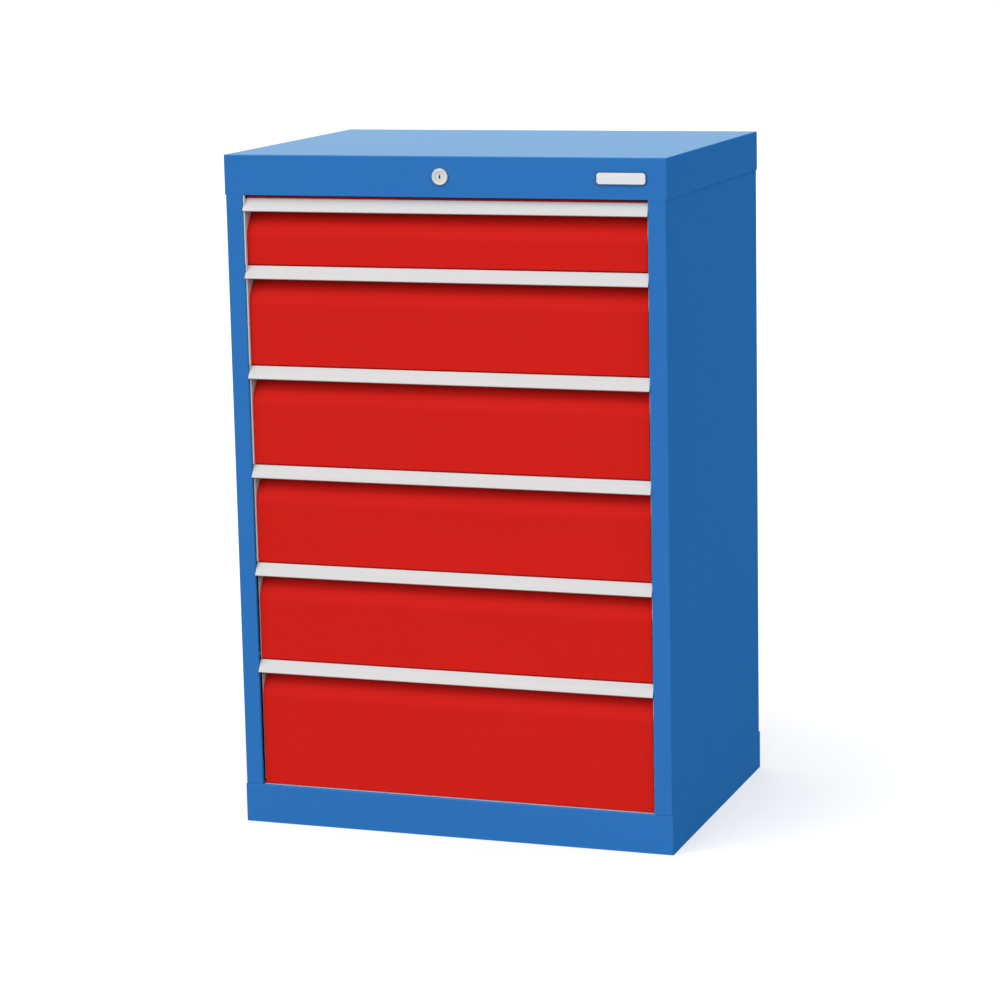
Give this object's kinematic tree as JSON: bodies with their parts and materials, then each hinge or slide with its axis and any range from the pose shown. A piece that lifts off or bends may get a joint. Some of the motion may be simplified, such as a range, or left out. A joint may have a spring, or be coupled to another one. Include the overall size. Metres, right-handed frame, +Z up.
{
  "type": "industrial drawer cabinet",
  "caption": "Floor-standing steel workshop cabinet with full-width drawers on telescopic slides, leaning handle bars with finger recesses, and a central key lock.",
  "frame": {"origin": "on the floor, in the middle of the whole footprint, with the reach of the handles counted", "axes": "+X to the right as seen from the front, +Y to the back, +Z up"},
  "size_m": [0.68, 0.503, 1.019],
  "materials": {
    "housing_blue": "powder coat, satin",
    "front_red": "powder coat, satin",
    "drawer_grey": "powder coat, satin",
    "handle_aluminium": "anodised, matt",
    "rail_zinc": "bright zinc plated",
    "lock_nickel": "nickel plated, satin",
    "plate_grey": "matt pale grey"
  },
  "bodies": {
    "cabinet": {"top_cover": "housing_blue", "plinth": "housing_blue", "left_side_panel": "housing_blue", "right_side_panel": "housing_blue", "back_panel": "housing_blue", "front_left_post": "rail_zinc", "front_right_post": "rail_zinc", "rear_left_post": "rail_zinc", "rear_right_post": "rail_zinc", "name_plate": "plate_grey", "lock_rosette": "lock_nickel", "lock_link_guide": "rail_zinc", "drawer_1_cabinet_rail_left": "rail_zinc", "drawer_1_cabinet_rail_right": "rail_zinc", "drawer_2_cabinet_rail_left": "rail_zinc", "drawer_2_cabinet_rail_right": "rail_zinc", "drawer_3_cabinet_rail_left": "rail_zinc", "drawer_3_cabinet_rail_right": "rail_zinc", "drawer_4_cabinet_rail_left": "rail_zinc", "drawer_4_cabinet_rail_right": "rail_zinc", "drawer_5_cabinet_rail_left": "rail_zinc", "drawer_5_cabinet_rail_right": "rail_zinc", "drawer_6_cabinet_rail_left": "rail_zinc", "drawer_6_cabinet_rail_right": "rail_zinc"},
    "drawer_1": {"drawer_1_box": "drawer_grey", "drawer_1_front": "front_red", "drawer_1_handle": "handle_aluminium"},
    "drawer_1_rails": {"drawer_1_middle_rail_left": "rail_zinc", "drawer_1_middle_rail_right": "rail_zinc"},
    "drawer_2": {"drawer_2_box": "drawer_grey", "drawer_2_front": "front_red", "drawer_2_handle": "handle_aluminium"},
    "drawer_2_rails": {"drawer_2_middle_rail_left": "rail_zinc", "drawer_2_middle_rail_right": "rail_zinc"},
    "drawer_3": {"drawer_3_box": "drawer_grey", "drawer_3_front": "front_red", "drawer_3_handle": "handle_aluminium"},
    "drawer_3_rails": {"drawer_3_middle_rail_left": "rail_zinc", "drawer_3_middle_rail_right": "rail_zinc"},
    "drawer_4": {"drawer_4_box": "drawer_grey", "drawer_4_front": "front_red", "drawer_4_handle": "handle_aluminium"},
    "drawer_4_rails": {"drawer_4_middle_rail_left": "rail_zinc", "drawer_4_middle_rail_right": "rail_zinc"},
    "drawer_5": {"drawer_5_box": "drawer_grey", "drawer_5_front": "front_red", "drawer_5_handle": "handle_aluminium"},
    "drawer_5_rails": {"drawer_5_middle_rail_left": "rail_zinc", "drawer_5_middle_rail_right": "rail_zinc"},
    "drawer_6": {"drawer_6_box": "drawer_grey", "drawer_6_front": "front_red", "drawer_6_handle": "handle_aluminium"},
    "drawer_6_rails": {"drawer_6_middle_rail_left": "rail_zinc", "drawer_6_middle_rail_right": "rail_zinc"},
    "lock_plug": {"lock_cylinder": "lock_nickel", "lock_cam": "rail_zinc"},
    "lock_link": {"lock_link": "rail_zinc"},
    "lock_shaft": {"lock_shaft": "rail_zinc"}
  },
  "joints": [
    {"name": "drawer_1_slide", "type": "slide", "parent": "cabinet", "child": "drawer_1", "axis": [0, -1, 0], "range_m": [0, 0.42]},
    {"name": "drawer_1_rails_slide", "type": "slide", "parent": "cabinet", "child": "drawer_1_rails", "axis": [0, -1, 0], "range_m": [0, 0.21]},
    {"name": "drawer_2_slide", "type": "slide", "parent": "cabinet", "child": "drawer_2", "axis": [0, -1, 0], "range_m": [0, 0.42]},
    {"name": "drawer_2_rails_slide", "type": "slide", "parent": "cabinet", "child": "drawer_2_rails", "axis": [0, -1, 0], "range_m": [0, 0.21]},
    {"name": "drawer_3_slide", "type": "slide", "parent": "cabinet", "child": "drawer_3", "axis": [0, -1, 0], "range_m": [0, 0.42]},
    {"name": "drawer_3_rails_slide", "type": "slide", "parent": "cabinet", "child": "drawer_3_rails", "axis": [0, -1, 0], "range_m": [0, 0.21]},
    {"name": "drawer_4_slide", "type": "slide", "parent": "cabinet", "child": "drawer_4", "axis": [0, -1, 0], "range_m": [0, 0.42]},
    {"name": "drawer_4_rails_slide", "type": "slide", "parent": "cabinet", "child": "drawer_4_rails", "axis": [0, -1, 0], "range_m": [0, 0.21]},
    {"name": "drawer_5_slide", "type": "slide", "parent": "cabinet", "child": "drawer_5", "axis": [0, -1, 0], "range_m": [0, 0.42]},
    {"name": "drawer_5_rails_slide", "type": "slide", "parent": "cabinet", "child": "drawer_5_rails", "axis": [0, -1, 0], "range_m": [0, 0.21]},
    {"name": "drawer_6_slide", "type": "slide", "parent": "cabinet", "child": "drawer_6", "axis": [0, -1, 0], "range_m": [0, 0.42]},
    {"name": "drawer_6_rails_slide", "type": "slide", "parent": "cabinet", "child": "drawer_6_rails", "axis": [0, -1, 0], "range_m": [0, 0.21]},
    {"name": "lock_link_slide", "type": "slide", "parent": "cabinet", "child": "lock_link", "axis": [-1, 0, 0], "range_m": [0, 0.01697]},
    {"name": "lock_turn", "type": "hinge", "parent": "cabinet", "child": "lock_plug", "pos_m": [0, -0.2485, 0.9895], "axis": [0, 1, 0], "range_deg": [0, 90]},
    {"name": "lock_shaft_turn", "type": "hinge", "parent": "cabinet", "child": "lock_shaft", "pos_m": [-0.3225, -0.2235, 0], "axis": [0, 0, 1], "range_deg": [0, 69.1]}
  ],
  "couplings": [
    {"joint": "drawer_1_rails_slide", "follows": "drawer_1_slide", "ratio": 0.5},
    {"joint": "drawer_2_rails_slide", "follows": "drawer_2_slide", "ratio": 0.5},
    {"joint": "drawer_3_rails_slide", "follows": "drawer_3_slide", "ratio": 0.5},
    {"joint": "drawer_4_rails_slide", "follows": "drawer_4_slide", "ratio": 0.5},
    {"joint": "drawer_5_rails_slide", "follows": "drawer_5_slide", "ratio": 0.5},
    {"joint": "drawer_6_rails_slide", "follows": "drawer_6_slide", "ratio": 0.5},
    {"joint": "lock_turn", "follows": "lock_link_slide", "rad_per_m": 92.56},
    {"joint": "lock_shaft_turn", "follows": "lock_link_slide", "rad_per_m": 70.96}
  ]
}
